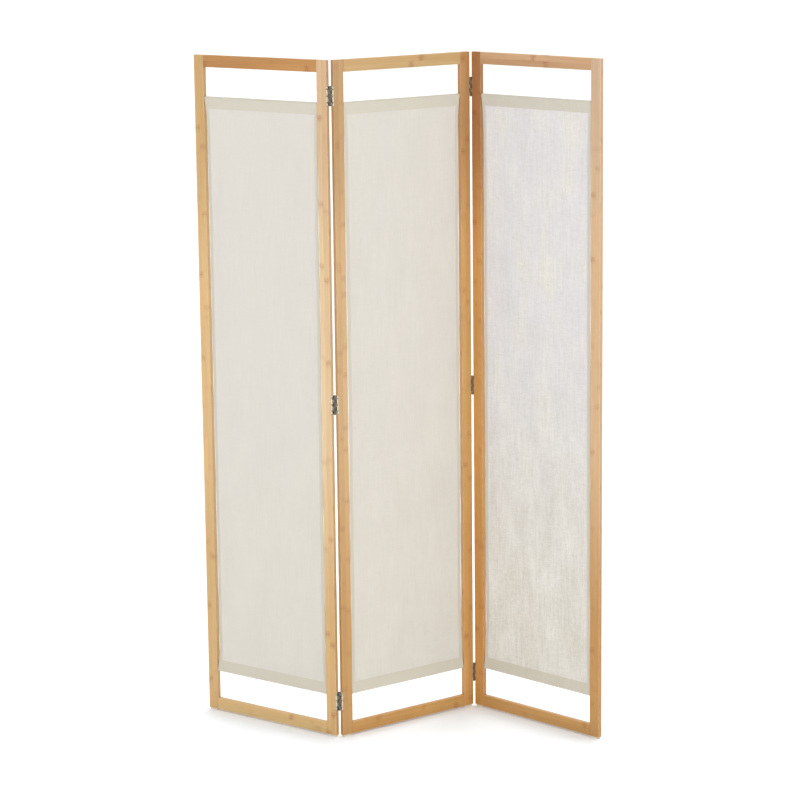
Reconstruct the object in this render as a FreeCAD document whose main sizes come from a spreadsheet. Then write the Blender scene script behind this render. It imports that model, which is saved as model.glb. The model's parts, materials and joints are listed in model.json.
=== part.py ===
import FreeCAD, Part
import Sketcher
import math
import os

# A three-panel folding screen: bamboo frames, cloth stretched between rods, and butt hinges.
#
# Model frame: millimetres, +Z up, X across the standing screen, Y from its front to its back.
# The origin is on the floor, under the middle of the screen's bounding box.
# The screen stands in a zigzag. Its left joint points forward and has its pins at the back,
# so the left panel folds behind the middle one. Its right joint points back and has its pins
# at the front, so the right panel folds in front of the middle one.
#
# Panel frame: x from 0 to panel_width, y from 0 at the front face to frame_thickness at the
# back face, z from the floor. Hinge frame: z along the pin, 0 at half its height.

# Driving dimensions in millimetres, and angles in degrees. Each is one cell of the sheet.
DIMENSIONS = {
    # Frames
    "overall_height": 1790,
    "panel_width": 440,
    "frame_thickness": 12,
    "stile_width": 32,
    "top_rail_height": 32,
    "bottom_rail_height": 32,
    "edge_round": 1.5,
    # Feet under the stiles
    "foot_height": 4,
    "foot_end_inset": 3,
    "foot_face_inset": 1.5,
    "foot_corner": 2,
    # Glued dowels between rails and stiles
    "dowel_radius": 3,
    "dowel_depth": 16,
    "dowel_spacing": 14,
    "dowel_end_play": 1,
    "glue_gap": 0.05,
    # Cloth, the open windows above and below it, and the rods in its sleeves
    "upper_window_height": 76,
    "lower_window_height": 75,
    "cloth_thickness": 1,
    "cloth_side_gap": 1,
    "sleeve_height": 32,
    "rod_radius": 4,
    "rod_socket_depth": 8,
    "rod_clearance": 0.05,
    # Hinges: how far the pin stands off the edge and off the face, and the leaves
    "pin_edge_gap": 1.5,
    "pin_face_gap": 1.5,
    "hinge_inset": 92,
    "knuckle_pitch": 10,
    "knuckle_play": 0.2,
    "sheet_thickness": 1.2,
    "pin_radius": 1.95,
    "pin_clearance": 0.05,
    "pin_head_overhang": 0.65,
    "pin_head_height": 0.8,
    "pin_head_round": 0.4,
    "leaf_setback": 1,
    "leaf_corner": 1.5,
    "barrel_clearance": 0.9,
    "notch_clearance": 0.2,
    "relief_clearance": 0.3,
    # Hinge screws
    "screw_spacing": 17,
    "screw_length": 14,
    "screw_radius": 1.2,
    "screw_tip_length": 3,
    "screw_tip_radius": 0.3,
    "screw_hole_clearance": 0.1,
    "pilot_clearance": 0.05,
    "pilot_extra_depth": 0.5,
    "recess_length": 2.6,
    "recess_width": 0.5,
    "recess_depth": 0.7,
    # How the screen stands: the middle panel's turn, and each side panel's fold from flat
    "middle_turn": 36.5,
    "left_fold": 73.0,
    "right_fold": 80.5,
}

KNUCKLES = 5
HINGES_PER_JOINT = 3
SCREWS_PER_LEAF = 3
COUNTERSINK_ANGLE = 90
PANELS = ("left", "middle", "right")

# Lengths worked out from the sheet, as expressions that the features are bound to.
STILE_LENGTH = "Sizes.overall_height - Sizes.foot_height"
RAIL_LENGTH = "Sizes.panel_width - 2 * Sizes.stile_width"
RIGHT_STILE_X = "Sizes.panel_width - Sizes.stile_width"
MID_DEPTH = "Sizes.frame_thickness / 2"
BOTTOM_RAIL_Z = "Sizes.foot_height"
TOP_RAIL_Z = "Sizes.overall_height - Sizes.top_rail_height"
CLOTH_TOP = f"({TOP_RAIL_Z} - Sizes.upper_window_height)"
CLOTH_BOTTOM = f"({BOTTOM_RAIL_Z} + Sizes.bottom_rail_height + Sizes.lower_window_height)"
SLEEVE_RADIUS = "(Sizes.rod_radius + Sizes.cloth_thickness)"
UPPER_ROD_Z = f"{CLOTH_TOP} - {SLEEVE_RADIUS}"
LOWER_ROD_Z = f"{CLOTH_BOTTOM} + {SLEEVE_RADIUS}"
HINGE_HEIGHT = f"{KNUCKLES} * Sizes.knuckle_pitch"
LOW_HINGE_Z = "(Sizes.foot_height + Sizes.hinge_inset)"
HINGE_RUN = f"Sizes.overall_height - Sizes.hinge_inset - {LOW_HINGE_Z}"
BORE_RADIUS = "(Sizes.pin_radius + Sizes.pin_clearance)"
KNUCKLE_RADIUS = f"({BORE_RADIUS} + Sizes.sheet_thickness)"
NOTCH_DEPTH = f"({KNUCKLE_RADIUS} - Sizes.pin_edge_gap)"
LEAF_WIDTH = "Sizes.frame_thickness + Sizes.pin_face_gap - Sizes.leaf_setback"
SCREW_OFFSET = "Sizes.frame_thickness / 2 + Sizes.pin_face_gap"


# ---------------------------------------------------------------- document and helpers

doc = FreeCAD.newDocument("folding_screen")
sheet = doc.addObject("Spreadsheet::Sheet", "Sizes")
for row, (alias, number) in enumerate(DIMENSIONS.items(), start=1):
    sheet.set(f"A{row}", str(number))
    sheet.setAlias(f"A{row}", alias)
doc.recompute()

nodes = []


def value(expression):
    """The number that an expression on the sheet gives."""
    return float(sheet.evalExpression(expression.replace("Sizes.", "")))


def keep(piece, label, placement):
    """Name a finished piece, put it in its place and list it for writing."""
    piece.Label = label
    piece.Placement = placement
    nodes.append(piece)


def new_body(name):
    """An empty body whose solids may be separate, for groups of fasteners."""
    body = doc.addObject("PartDesign::Body", name)
    body.AllowCompound = True
    return body


def origin_feature(body, role):
    """One of the body's own origin planes or axes."""
    return next(item for item in body.Origin.OriginFeatures if item.Role == role)


def new_sketch(body, name, plane, offset="0", shift_x="0", shift_y="0"):
    """A sketch on one of the body's origin planes, moved along the plane's normal and in it."""
    sketch = body.newObject("Sketcher::SketchObject", name)
    sketch.AttachmentSupport = [(origin_feature(body, plane), "")]
    sketch.MapMode = "FlatFace"
    sketch.setExpression("AttachmentOffset.Base.z", offset)
    sketch.setExpression("AttachmentOffset.Base.x", shift_x)
    sketch.setExpression("AttachmentOffset.Base.y", shift_y)
    return sketch


def dimension(sketch, constraint, expression):
    """Add a dimension and bind it to the sheet."""
    index = sketch.addConstraint(constraint)
    sketch.setExpression(f"Constraints[{index}]", expression)


def add_polygon(sketch, corners):
    """A closed outline whose corners are pairs of expressions."""
    points = [FreeCAD.Vector(value(x), value(y), 0) for x, y in corners]
    first = sketch.GeometryCount
    count = len(points)
    for i in range(count):
        sketch.addGeometry(Part.LineSegment(points[i], points[(i + 1) % count]), False)
    for i in range(count):
        joined = Sketcher.Constraint("Coincident", first + i, 2, first + (i + 1) % count, 1)
        sketch.addConstraint(joined)
    for i, (x, y) in enumerate(corners):
        across = Sketcher.Constraint("DistanceX", -1, 1, first + i, 1, points[i].x)
        dimension(sketch, across, x)
        along = Sketcher.Constraint("DistanceY", -1, 1, first + i, 1, points[i].y)
        dimension(sketch, along, y)


def add_rectangle(sketch, left, bottom, width, height):
    """A rectangle from its lower left corner."""
    right = f"{left} + {width}"
    top = f"{bottom} + {height}"
    add_polygon(sketch, [(left, bottom), (right, bottom), (right, top), (left, top)])


def add_circle(sketch, across, along, radius):
    """A circle about a point."""
    centre = FreeCAD.Vector(value(across), value(along), 0)
    circle = Part.Circle(centre, FreeCAD.Vector(0, 0, 1), value(radius))
    index = sketch.addGeometry(circle, False)
    dimension(sketch, Sketcher.Constraint("Radius", index, value(radius)), radius)
    dimension(sketch, Sketcher.Constraint("DistanceX", -1, 1, index, 3, centre.x), across)
    dimension(sketch, Sketcher.Constraint("DistanceY", -1, 1, index, 3, centre.y), along)


def pad(body, sketch, length, name):
    """Material from the sketch's plane along its normal."""
    feature = body.newObject("PartDesign::Pad", name)
    feature.Profile = sketch
    feature.setExpression("Length", length)
    doc.recompute()
    return feature


def pocket(body, sketch, length, name, along_normal=False):
    """Cut from the sketch's plane, against its normal or along it, and make sure it cut."""
    before = body.Shape.Volume
    feature = body.newObject("PartDesign::Pocket", name)
    feature.Profile = sketch
    feature.Reversed = along_normal
    feature.setExpression("Length", length)
    doc.recompute()
    if body.Shape.Volume >= before:
        raise RuntimeError(f"{name} cuts nothing")
    return feature


def fillet(body, edges, radius, name):
    """Round some edges of the body's latest feature."""
    base = body.Tip
    feature = body.newObject("PartDesign::Fillet", name)
    feature.Base = (base, edges)
    feature.setExpression("Radius", radius)
    doc.recompute()
    return feature


def repeat(body, originals, run, count, name):
    """Repeat features upwards, evenly over a run."""
    pattern = body.newObject("PartDesign::LinearPattern", name)
    pattern.Originals = originals
    pattern.Direction = (origin_feature(body, "Z_Axis"), [""])
    pattern.setExpression("Length", run)
    pattern.Occurrences = count
    body.Tip = pattern
    doc.recompute()
    return pattern


def edges_where(shape, test):
    """Names of the shape's edges that pass a test."""
    return [f"Edge{i}" for i, edge in enumerate(shape.Edges, start=1) if test(edge)]


def runs_along(edge, axis):
    """Whether a straight edge is parallel to an axis."""
    if not isinstance(edge.Curve, Part.Line):
        return False
    return abs(edge.Curve.Direction.dot(axis)) > 0.999


# ---------------------------------------------------------------- how the screen stands

def turned(x, y, degrees):
    """A plan vector turned about Z."""
    angle = math.radians(degrees)
    across = x * math.cos(angle) - y * math.sin(angle)
    back = x * math.sin(angle) + y * math.cos(angle)
    return FreeCAD.Vector(across, back, 0)


def panel_placements():
    """Each panel's placement, with the whole screen's plan box centred on the origin."""
    width = value("Sizes.panel_width")
    depth = value("Sizes.frame_thickness")
    edge_gap = value("Sizes.pin_edge_gap")
    face_gap = value("Sizes.pin_face_gap")
    middle_turn = value("Sizes.middle_turn")
    turns = {
        "left": middle_turn - value("Sizes.left_fold"),
        "middle": middle_turn,
        "right": middle_turn - value("Sizes.right_fold"),
    }
    left_pin = turned(-edge_gap, depth + face_gap, middle_turn)
    right_pin = turned(width + edge_gap, -face_gap, middle_turn)
    corners = {
        "left": left_pin - turned(width + edge_gap, depth + face_gap, turns["left"]),
        "middle": FreeCAD.Vector(0, 0, 0),
        "right": right_pin - turned(-edge_gap, -face_gap, turns["right"]),
    }
    box = FreeCAD.BoundBox()
    edge_round = value("Sizes.edge_round")
    for name in PANELS:
        for x in (edge_round, width - edge_round):
            for y in (edge_round, depth - edge_round):
                box.add(corners[name] + turned(x, y, turns[name]))
    centre = FreeCAD.Vector(box.Center.x, box.Center.y, 0)
    upright = FreeCAD.Vector(0, 0, 1)
    return {
        name: FreeCAD.Placement(corners[name] - centre, FreeCAD.Rotation(upright, turns[name]))
        for name in PANELS
    }


def pin_position(side, pin_at_back):
    """The pin's place in plan, in the frame of the panel whose left or right edge it is on."""
    edge_gap = value("Sizes.pin_edge_gap")
    x = value("Sizes.panel_width") + edge_gap if side == "right" else -edge_gap
    face_gap = value("Sizes.pin_face_gap")
    y = value("Sizes.frame_thickness") + face_gap if pin_at_back else -face_gap
    return x, y


def hinge_heights():
    """The heights of the hinges' middles above the floor."""
    low = value(LOW_HINGE_Z)
    step = value(HINGE_RUN) / (HINGES_PER_JOINT - 1)
    return [low + step * i for i in range(HINGES_PER_JOINT)]


def hinge_placement(panel, side, pin_at_back, height):
    """Places a hinge frame, with its leaf towards the panel and away from the pin's face."""
    x, y = pin_position(side, pin_at_back)
    flips = {
        ("left", True): FreeCAD.Rotation(),
        ("right", True): FreeCAD.Rotation(FreeCAD.Vector(0, 1, 0), 180),
        ("right", False): FreeCAD.Rotation(FreeCAD.Vector(0, 0, 1), 180),
        ("left", False): FreeCAD.Rotation(FreeCAD.Vector(1, 0, 0), 180),
    }
    local = FreeCAD.Placement(FreeCAD.Vector(x, y, height), flips[(side, pin_at_back)])
    return placements[panel] * local


# ---------------------------------------------------------------- frame pieces

def add_dowel_circles(sketch, radius):
    """The dowels of both rails: two in each, about the rail's middle."""
    rails = ((BOTTOM_RAIL_Z, "Sizes.bottom_rail_height"), (TOP_RAIL_Z, "Sizes.top_rail_height"))
    for base, height in rails:
        for sign in ("-", "+"):
            along = f"{base} + {height} / 2 {sign} Sizes.dowel_spacing / 2"
            add_circle(sketch, MID_DEPTH, along, radius)


def cut_hinge_seats(body, side, pin_at_back):
    """Notches for the leaves, relief for the barrels and pilot holes for the screws."""
    on_right = side == "right"
    outer = "Sizes.panel_width" if on_right else "0"
    out = "+" if on_right else "-"
    back = "-" if on_right else "+"
    notch_floor = f"{outer} {back} {NOTCH_DEPTH}"
    notch_height = f"{HINGE_HEIGHT} + 2 * Sizes.notch_clearance"
    notch_base = f"{LOW_HINGE_Z} - ({notch_height}) / 2"
    beyond = f"({NOTCH_DEPTH} + Sizes.pin_edge_gap)"
    notch_left = notch_floor if on_right else "-Sizes.pin_edge_gap"

    sketch = new_sketch(body, "notch_outline", "XZ_Plane")
    add_rectangle(sketch, notch_left, notch_base, beyond, notch_height)
    notch = pocket(body, sketch, "Sizes.frame_thickness", "leaf_notch")

    relief_height = f"{notch_height} + 2 * Sizes.pin_head_height"
    relief_base = f"{LOW_HINGE_Z} - ({relief_height}) / 2"
    pin_x = f"{outer} {out} Sizes.pin_edge_gap"
    pin_y = "Sizes.frame_thickness + Sizes.pin_face_gap" if pin_at_back else "-Sizes.pin_face_gap"
    sketch = new_sketch(body, "barrel_outline", "XY_Plane", offset=relief_base)
    add_circle(sketch, pin_x, pin_y, f"{KNUCKLE_RADIUS} + Sizes.relief_clearance")
    relief = pocket(body, sketch, relief_height, "barrel_relief", along_normal=True)

    sketch = new_sketch(body, "pilot_centres", "YZ_Plane", offset=notch_floor)
    for i in range(SCREWS_PER_LEAF):
        place = i - (SCREWS_PER_LEAF - 1) // 2
        along = f"{LOW_HINGE_Z} + {place} * Sizes.screw_spacing"
        add_circle(sketch, MID_DEPTH, along, "Sizes.screw_radius + Sizes.pilot_clearance")
    depth = "Sizes.screw_length - Sizes.sheet_thickness + Sizes.pilot_extra_depth"
    pilots = pocket(body, sketch, depth, "pilot_holes", along_normal=not on_right)

    repeat(body, [notch, relief, pilots], HINGE_RUN, HINGES_PER_JOINT, "hinge_seats")


def make_stile(panel, side, hinged, pin_at_back):
    """An upright, bored for the rails' dowels and the cloth rods."""
    body = new_body(f"{panel}_panel_{side}_stile")
    on_right = side == "right"
    left = RIGHT_STILE_X if on_right else "0"
    inner = RIGHT_STILE_X if on_right else "Sizes.stile_width"
    sketch = new_sketch(body, "section", "XY_Plane", offset="Sizes.foot_height")
    add_rectangle(sketch, left, "0", "Sizes.stile_width", "Sizes.frame_thickness")
    blank = pad(body, sketch, STILE_LENGTH, "blank")
    every_edge = edges_where(blank.Shape, lambda edge: True)
    fillet(body, every_edge, "Sizes.edge_round", "rounded_edges")

    sketch = new_sketch(body, "dowel_centres", "YZ_Plane", offset=inner)
    add_dowel_circles(sketch, "Sizes.dowel_radius + Sizes.glue_gap")
    pocket(body, sketch, "Sizes.dowel_depth", "dowel_holes", along_normal=on_right)

    sketch = new_sketch(body, "rod_centres", "YZ_Plane", offset=inner)
    for along in (LOWER_ROD_Z, UPPER_ROD_Z):
        add_circle(sketch, MID_DEPTH, along, "Sizes.rod_radius + Sizes.rod_clearance")
    pocket(body, sketch, "Sizes.rod_socket_depth", "rod_sockets", along_normal=on_right)

    if hinged:
        cut_hinge_seats(body, side, pin_at_back)
    keep(body, f"{panel}_panel_{side}_stile", placements[panel])


def make_rail(panel, name, base, height):
    """A rail between the stiles, bored at both ends for its dowels."""
    body = new_body(f"{panel}_panel_{name}")
    sketch = new_sketch(body, "section", "YZ_Plane", offset="Sizes.stile_width")
    add_rectangle(sketch, "0", base, "Sizes.frame_thickness", height)
    blank = pad(body, sketch, RAIL_LENGTH, "blank")
    along_rail = FreeCAD.Vector(1, 0, 0)
    long_edges = edges_where(blank.Shape, lambda edge: runs_along(edge, along_rail))
    fillet(body, long_edges, "Sizes.edge_round", "rounded_edges")
    for end, inner, into_rail in (("left", "Sizes.stile_width", True), ("right", RIGHT_STILE_X, False)):
        sketch = new_sketch(body, f"{end}_dowel_centres", "YZ_Plane", offset=inner)
        for sign in ("-", "+"):
            along = f"{base} + {height} / 2 {sign} Sizes.dowel_spacing / 2"
            add_circle(sketch, MID_DEPTH, along, "Sizes.dowel_radius + Sizes.glue_gap")
        pocket(body, sketch, "Sizes.dowel_depth", f"{end}_dowel_holes", along_normal=into_rail)
    keep(body, f"{panel}_panel_{name}", placements[panel])


def make_dowels(panel):
    """The eight hidden dowels that join the rails to the stiles."""
    body = new_body(f"{panel}_panel_dowels")
    length = "2 * (Sizes.dowel_depth - Sizes.dowel_end_play)"
    for end, joint in (("left", "Sizes.stile_width"), ("right", RIGHT_STILE_X)):
        start = f"{joint} - Sizes.dowel_depth + Sizes.dowel_end_play"
        sketch = new_sketch(body, f"{end}_sections", "YZ_Plane", offset=start)
        add_dowel_circles(sketch, "Sizes.dowel_radius")
        pad(body, sketch, length, f"{end}_end_dowels")
    keep(body, f"{panel}_panel_dowels", placements[panel])


def make_foot(panel, side):
    """A flat pad under one stile."""
    body = new_body(f"{panel}_panel_{side}_foot")
    stile = RIGHT_STILE_X if side == "right" else "0"
    sketch = new_sketch(body, "outline", "XY_Plane")
    left = f"{stile} + Sizes.foot_end_inset"
    length = "Sizes.stile_width - 2 * Sizes.foot_end_inset"
    depth = "Sizes.frame_thickness - 2 * Sizes.foot_face_inset"
    add_rectangle(sketch, left, "Sizes.foot_face_inset", length, depth)
    blank = pad(body, sketch, "Sizes.foot_height", "blank")
    up = FreeCAD.Vector(0, 0, 1)
    corners = edges_where(blank.Shape, lambda edge: runs_along(edge, up))
    fillet(body, corners, "Sizes.foot_corner", "rounded_corners")
    keep(body, f"{panel}_panel_{side}_foot", placements[panel])


# ---------------------------------------------------------------- cloth and rods

def make_rod(panel, name, height):
    """A round rod from socket to socket."""
    rod = doc.addObject("Part::Cylinder", f"{panel}_panel_{name}")
    rod.setExpression("Radius", "Sizes.rod_radius")
    rod.setExpression("Height", f"{RAIL_LENGTH} + 2 * Sizes.rod_socket_depth")
    doc.recompute()
    start = value("Sizes.stile_width - Sizes.rod_socket_depth")
    along_x = FreeCAD.Rotation(FreeCAD.Vector(0, 1, 0), 90)
    place = FreeCAD.Vector(start, value(MID_DEPTH), value(height))
    keep(rod, f"{panel}_panel_{name}", placements[panel] * FreeCAD.Placement(place, along_x))


def add_sleeve_outline(sketch, rod_height, seam_height, upward):
    """A drop shape round a rod, narrowing to the cloth's thickness at the seam."""
    centre = FreeCAD.Vector(value(MID_DEPTH), value(rod_height), 0)
    radius = value(SLEEVE_RADIUS)
    half_cloth = value("Sizes.cloth_thickness") / 2
    seam = value(seam_height)
    upright = FreeCAD.Vector(0, 0, 1)
    front = FreeCAD.Vector(centre.x - half_cloth, seam, 0)
    back = FreeCAD.Vector(centre.x + half_cloth, seam, 0)
    front_top = centre - FreeCAD.Vector(radius, 0, 0)
    back_top = centre + FreeCAD.Vector(radius, 0, 0)
    sketch.addGeometry(Part.LineSegment(front, back), False)
    sketch.addGeometry(Part.LineSegment(back, back_top), False)
    sketch.addGeometry(Part.LineSegment(front, front_top), False)
    circle = Part.Circle(centre, upright, radius)
    first_angle = 0 if upward else math.pi
    sketch.addGeometry(Part.ArcOfCircle(circle, first_angle, first_angle + math.pi), False)
    back_end, front_end = (1, 2) if upward else (2, 1)
    sketch.addConstraint(Sketcher.Constraint("Coincident", 0, 2, 1, 1))
    sketch.addConstraint(Sketcher.Constraint("Coincident", 0, 1, 2, 1))
    sketch.addConstraint(Sketcher.Constraint("Tangent", 1, 2, 3, back_end))
    sketch.addConstraint(Sketcher.Constraint("Tangent", 2, 2, 3, front_end))
    sketch.addConstraint(Sketcher.Constraint("Horizontal", 0))
    dimension(sketch, Sketcher.Constraint("Radius", 3, radius), SLEEVE_RADIUS)
    dimension(sketch, Sketcher.Constraint("DistanceX", -1, 1, 3, 3, centre.x), MID_DEPTH)
    dimension(sketch, Sketcher.Constraint("DistanceY", -1, 1, 3, 3, centre.y), rod_height)
    across = f"{MID_DEPTH} - Sizes.cloth_thickness / 2"
    dimension(sketch, Sketcher.Constraint("DistanceX", -1, 1, 0, 1, front.x), across)
    dimension(sketch, Sketcher.Constraint("DistanceY", -1, 1, 0, 1, front.y), seam_height)
    width = Sketcher.Constraint("DistanceX", 0, 1, 0, 2, 2 * half_cloth)
    dimension(sketch, width, "Sizes.cloth_thickness")


def make_cloth(panel):
    """One width of cloth with a rod sleeve at its top and its bottom."""
    body = new_body(f"{panel}_panel_cloth")
    start = "Sizes.stile_width + Sizes.cloth_side_gap"
    width = f"{RAIL_LENGTH} - 2 * Sizes.cloth_side_gap"
    upper_seam = f"{CLOTH_TOP} - Sizes.sleeve_height"
    lower_seam = f"{CLOTH_BOTTOM} + Sizes.sleeve_height"
    sketch = new_sketch(body, "sheet_section", "YZ_Plane", offset=start)
    front = f"{MID_DEPTH} - Sizes.cloth_thickness / 2"
    drop = f"({upper_seam}) - ({lower_seam})"
    add_rectangle(sketch, front, lower_seam, "Sizes.cloth_thickness", drop)
    pad(body, sketch, width, "sheet")
    sleeves = (("upper", UPPER_ROD_Z, upper_seam, True), ("lower", LOWER_ROD_Z, lower_seam, False))
    for name, rod_height, seam, upward in sleeves:
        sketch = new_sketch(body, f"{name}_sleeve_section", "YZ_Plane", offset=start)
        add_sleeve_outline(sketch, rod_height, seam, upward)
        pad(body, sketch, width, f"{name}_sleeve")
        sketch = new_sketch(body, f"{name}_rod_section", "YZ_Plane", offset=start)
        add_circle(sketch, MID_DEPTH, rod_height, "Sizes.rod_radius + Sizes.rod_clearance")
        pocket(body, sketch, width, f"{name}_rod_tunnel", along_normal=True)
    keep(body, f"{panel}_panel_cloth", placements[panel])


# ---------------------------------------------------------------- hinges

def make_leaf(label, own_end_knuckles, placement):
    """A leaf with its rolled knuckles: the even ones with both ends, or the odd ones."""
    body = new_body(label)
    barrel_base = f"-({HINGE_HEIGHT}) / 2"
    plate_face = f"{KNUCKLE_RADIUS} - Sizes.sheet_thickness"
    sketch = new_sketch(body, "plate_outline", "YZ_Plane", offset=plate_face)
    add_rectangle(sketch, f"-({LEAF_WIDTH})", barrel_base, LEAF_WIDTH, HINGE_HEIGHT)
    plate = pad(body, sketch, "Sizes.sheet_thickness", "plate")
    through = FreeCAD.Vector(1, 0, 0)
    free_side = -value(LEAF_WIDTH) / 2
    corners = edges_where(
        plate.Shape, lambda edge: runs_along(edge, through) and edge.CenterOfMass.y < free_side)
    fillet(body, corners, "Sizes.leaf_corner", "plate_corners")

    sketch = new_sketch(body, "barrel_outline", "XY_Plane", offset=barrel_base)
    add_circle(sketch, "0", "0", KNUCKLE_RADIUS)
    pad(body, sketch, HINGE_HEIGHT, "barrel")

    first_gap = 1 if own_end_knuckles else 0
    gaps = len(range(first_gap, KNUCKLES, 2))
    gap_base = f"{barrel_base} + {first_gap} * Sizes.knuckle_pitch - Sizes.knuckle_play / 2"
    sketch = new_sketch(body, "gap_outline", "XY_Plane", offset=gap_base)
    add_circle(sketch, "0", "0", f"{KNUCKLE_RADIUS} + Sizes.barrel_clearance")
    gap_height = "Sizes.knuckle_pitch + Sizes.knuckle_play"
    gap = pocket(body, sketch, gap_height, "knuckle_gap", along_normal=True)
    gap_run = f"{2 * (gaps - 1)} * Sizes.knuckle_pitch"
    repeat(body, [gap], gap_run, gaps, "knuckle_gaps")

    sketch = new_sketch(body, "bore_outline", "XY_Plane", offset=barrel_base)
    add_circle(sketch, "0", "0", BORE_RADIUS)
    pocket(body, sketch, HINGE_HEIGHT, "pin_bore", along_normal=True)
    add_countersunk_holes(body, plate_face)
    keep(body, label, placement)


def add_countersunk_holes(body, plate_face):
    """Screw holes through the plate, countersunk on the side that the other leaf faces."""
    sketch = new_sketch(body, "screw_centres", "YZ_Plane", offset=plate_face)
    shank = "Sizes.screw_radius + Sizes.screw_hole_clearance"
    for i in range(SCREWS_PER_LEAF):
        place = i - (SCREWS_PER_LEAF - 1) // 2
        add_circle(sketch, f"-({SCREW_OFFSET})", f"{place} * Sizes.screw_spacing", shank)
    before = body.Shape.Volume
    holes = body.newObject("PartDesign::Hole", "screw_holes")
    holes.Profile = sketch
    doc.recompute()
    holes.Reversed = True
    holes.DepthType = "ThroughAll"
    holes.setExpression("Diameter", f"2 * ({shank})")
    holes.HoleCutType = "Countersink"
    holes.HoleCutCustomValues = True
    holes.HoleCutCountersinkAngle = COUNTERSINK_ANGLE
    holes.setExpression("HoleCutDiameter", f"2 * ({shank} + Sizes.sheet_thickness)")
    doc.recompute()
    if body.Shape.Volume >= before:
        raise RuntimeError("screw_holes cut nothing")


def make_pin(label, placement):
    """A hinge pin with a low round head at each end."""
    body = new_body(label)
    base = f"-({HINGE_HEIGHT}) / 2"
    sketch = new_sketch(body, "shaft_outline", "XY_Plane", offset=base)
    add_circle(sketch, "0", "0", "Sizes.pin_radius")
    pad(body, sketch, HINGE_HEIGHT, "shaft")
    heads = (("lower", f"{base} - Sizes.pin_head_height"), ("upper", f"({HINGE_HEIGHT}) / 2"))
    for name, head_base in heads:
        sketch = new_sketch(body, f"{name}_head_outline", "XY_Plane", offset=head_base)
        add_circle(sketch, "0", "0", "Sizes.pin_radius + Sizes.pin_head_overhang")
        pad(body, sketch, "Sizes.pin_head_height", f"{name}_head")
    reach = value(HINGE_HEIGHT) / 2 + value("Sizes.pin_head_height")
    rims = edges_where(
        body.Shape, lambda edge: abs(abs(edge.CenterOfMass.z) - reach) < 0.01)
    fillet(body, rims, "Sizes.pin_head_round", "head_rims")
    keep(body, label, placement)


def make_screws(label, placement):
    """All the screws of one stile edge: each hinge's, one above the other."""
    body = new_body(label)
    head_face = f"{KNUCKLE_RADIUS} - Sizes.sheet_thickness"
    depth = SCREW_OFFSET
    lowest = "-Sizes.screw_spacing"
    sketch = new_sketch(body, "half_section", "XZ_Plane", depth, head_face, lowest)
    head_radius = "Sizes.screw_radius + Sizes.sheet_thickness"
    shank_end = "Sizes.screw_length - Sizes.screw_tip_length"
    add_polygon(sketch, [
        ("0", "0"),
        ("Sizes.screw_length", "0"),
        ("Sizes.screw_length", "Sizes.screw_tip_radius"),
        (shank_end, "Sizes.screw_radius"),
        ("Sizes.sheet_thickness", "Sizes.screw_radius"),
        ("0", head_radius),
    ])
    screw = body.newObject("PartDesign::Revolution", "screw")
    screw.Profile = sketch
    screw.ReferenceAxis = (sketch, ["H_Axis"])
    screw.Angle = 360
    doc.recompute()

    recess = []
    arms = (("upright", "Sizes.recess_width", "Sizes.recess_length"),
            ("level", "Sizes.recess_length", "Sizes.recess_width"))
    for name, across, along in arms:
        sketch = new_sketch(body, f"{name}_slot_outline", "YZ_Plane", head_face)
        left = f"-({depth}) - {across} / 2"
        add_rectangle(sketch, left, f"{lowest} - {along} / 2", across, along)
        recess.append(pocket(body, sketch, "Sizes.recess_depth", f"{name}_slot", along_normal=True))

    all_screws = body.newObject("PartDesign::MultiTransform", "all_screws")
    steps = (("up_the_leaf", f"{SCREWS_PER_LEAF - 1} * Sizes.screw_spacing", SCREWS_PER_LEAF),
             ("up_the_stile", HINGE_RUN, HINGES_PER_JOINT))
    patterns = []
    for name, run, count in steps:
        pattern = body.newObject("PartDesign::LinearPattern", name)
        pattern.Direction = (origin_feature(body, "Z_Axis"), [""])
        pattern.setExpression("Length", run)
        pattern.Occurrences = count
        patterns.append(pattern)
    all_screws.Originals = [screw] + recess
    all_screws.Transformations = patterns
    body.Tip = all_screws
    doc.recompute()
    keep(body, label, placement)


def make_hinge_side(panel, side, pin_at_back, joint, carries_pin):
    """The leaves and screws on one stile edge, and the pins where this panel carries them."""
    names = ("low", "mid", "high")
    for name, height in zip(names, hinge_heights()):
        place = hinge_placement(panel, side, pin_at_back, height)
        make_leaf(f"{joint}_{name}_hinge_{panel}_leaf", carries_pin, place)
        if carries_pin:
            make_pin(f"{joint}_{name}_hinge_pin", place)
    flipped = (side == "right") == pin_at_back
    first_height = hinge_heights()[-1] if flipped else hinge_heights()[0]
    first_place = hinge_placement(panel, side, pin_at_back, first_height)
    make_screws(f"{joint}_hinge_{panel}_screws", first_place)


# ---------------------------------------------------------------- assembly

placements = panel_placements()


def make_panel(panel, hinges):
    """A frame with its cloth, rods and feet; hinges maps a side to whether its pins are behind."""
    for side in ("left", "right"):
        make_stile(panel, side, side in hinges, hinges.get(side, False))
        make_foot(panel, side)
    make_rail(panel, "bottom_rail", BOTTOM_RAIL_Z, "Sizes.bottom_rail_height")
    make_rail(panel, "top_rail", TOP_RAIL_Z, "Sizes.top_rail_height")
    make_dowels(panel)
    make_rod(panel, "lower_rod", LOWER_ROD_Z)
    make_rod(panel, "upper_rod", UPPER_ROD_Z)
    make_cloth(panel)


def check_and_write():
    """Refuse anything invalid, then write each piece to its own file."""
    doc.recompute()
    for item in doc.Objects:
        if "Invalid" in item.State or "Error" in item.State:
            raise RuntimeError(f"{item.Label} failed: {item.State}")
    os.makedirs("parts", exist_ok=True)
    for piece in nodes:
        shape = piece.Shape
        if shape.isNull() or not shape.isValid() or not shape.Solids:
            raise RuntimeError(f"{piece.Label} has no valid solid")
        shape.exportStep(f"parts/{piece.Label}.step")
        print(piece.Label, len(shape.Solids), round(shape.Volume, 1))


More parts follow.
